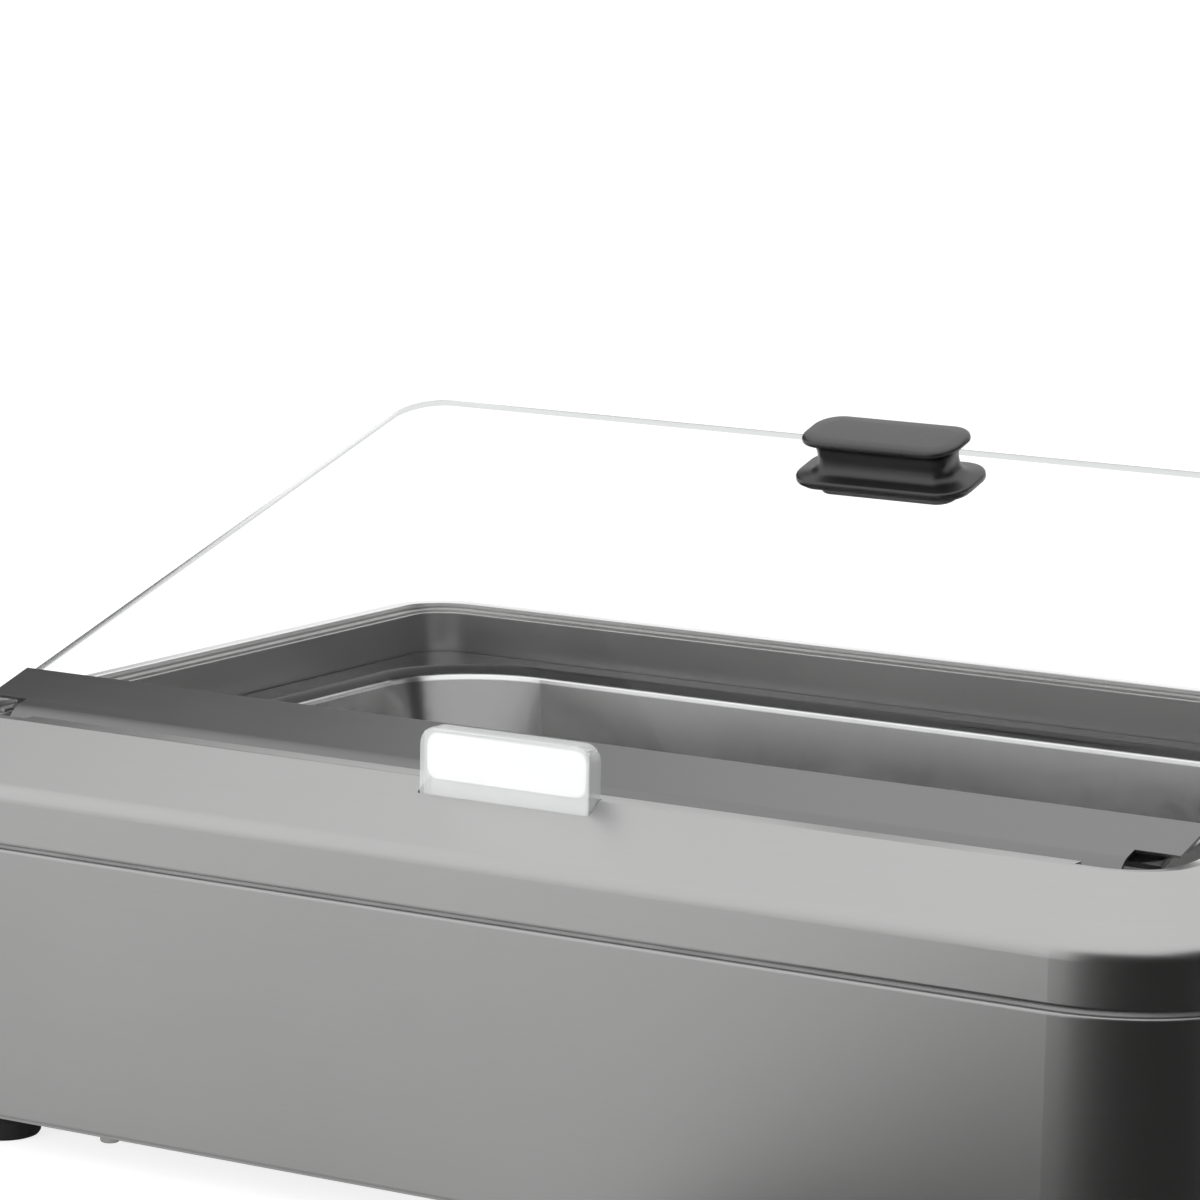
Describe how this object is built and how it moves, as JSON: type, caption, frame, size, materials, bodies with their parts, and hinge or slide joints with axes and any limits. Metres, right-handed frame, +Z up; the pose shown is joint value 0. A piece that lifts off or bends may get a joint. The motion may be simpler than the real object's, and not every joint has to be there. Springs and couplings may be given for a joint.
{
  "type": "chafing dish",
  "caption": "Electric chafing dish with a drawn steel body, a full-size food pan over a water basin, a hinged flat glass lid and a clear label holder.",
  "frame": {"origin": "middle of the footprint, on the surface that the feet stand on", "axes": "+X along the dish, +Y towards the server's side with the controls, -Y the guests' side with the hinge and label, +Z up"},
  "size_m": [0.622, 0.434, 0.292],
  "materials": {
    "brushed_sheet": "fine brushed stainless sheet",
    "satin_rail": "darker satin stainless",
    "pan_steel": "satin deep-drawn stainless",
    "fastener_steel": "plain stainless fasteners",
    "element_steel": "dark annealed tube",
    "lid_glass": "clear toughened glass",
    "black_plastic": "satin black moulded plastic",
    "grey_silicone": "dark grey silicone",
    "black_rubber": "matte black rubber",
    "clear_plastic": "clear acrylic",
    "card_stock": "plain white card",
    "insulation": "pressed mineral board",
    "lamp_plastic": "amber lens",
    "terminal_ceramic": "white steatite"
  },
  "bodies": {
    "root": {"base_nuts": "fastener_steel", "base_plate": "brushed_sheet", "base_screws": "fastener_steel", "bracket_nuts": "fastener_steel", "bracket_screws": "fastener_steel", "clamp_bar_1": "pan_steel", "clamp_bar_2": "pan_steel", "clamp_nuts": "fastener_steel", "control_tray": "brushed_sheet", "food_pan": "pan_steel", "foot_1": "black_rubber", "foot_2": "black_rubber", "foot_3": "black_rubber", "foot_4": "black_rubber", "foot_nuts": "fastener_steel", "foot_screws": "fastener_steel", "frame_nuts": "fastener_steel", "frame_screws": "fastener_steel", "heat_shield": "pan_steel", "heating_element": "element_steel", "hinge_bracket_1": "satin_rail", "hinge_bracket_2": "satin_rail", "hinge_pin_1": "fastener_steel", "hinge_pin_2": "fastener_steel", "inlet_pins": "fastener_steel", "inlet_screws": "fastener_steel", "inlet_socket": "black_plastic", "insulation_board": "insulation", "label_pocket": "brushed_sheet", "lamp_holder": "black_plastic", "lamp_lens": "lamp_plastic", "ledge_gasket": "grey_silicone", "outer_housing": "brushed_sheet", "safety_cutout": "pan_steel", "seam_seal": "grey_silicone", "shield_nuts": "fastener_steel", "switch_housing": "black_plastic", "terminal_block": "terminal_ceramic", "thermostat_body": "black_plastic", "top_frame": "brushed_sheet", "tray_screws": "fastener_steel", "water_basin": "pan_steel"},
    "lid": {"lid_rail": "satin_rail", "hinge_leaf": "satin_rail", "clamp_pad": "grey_silicone", "glass_pane": "lid_glass", "rail_nuts": "fastener_steel", "lid_handle": "black_plastic", "handle_washer": "grey_silicone", "handle_backing": "fastener_steel", "handle_screws": "fastener_steel"},
    "dial": {"control_dial": "black_plastic", "thermostat_shaft": "fastener_steel"},
    "rocker": {"switch_rocker": "black_plastic"},
    "label": {"label_holder": "clear_plastic", "label_card": "card_stock"}
  },
  "joints": [
    {"name": "lid_hinge", "type": "hinge", "parent": "root", "child": "lid", "pos_m": [0, -0.16, 0.1718], "axis": [1, 0, 0], "range_deg": [-16.85, 48.15]},
    {"name": "dial_turn", "type": "hinge", "parent": "root", "child": "dial", "pos_m": [-0.066, 0.193, 0.076], "axis": [0, 1, 0], "range_deg": [0, 270]},
    {"name": "switch_rock", "type": "hinge", "parent": "root", "child": "rocker", "pos_m": [-0.012, 0.193, 0.076], "axis": [1, 0, 0], "range_deg": [-22, 0]},
    {"name": "label_lift", "type": "slide", "parent": "root", "child": "label", "axis": [0, 0, 1], "range_m": [0, 0.03]}
  ]
}
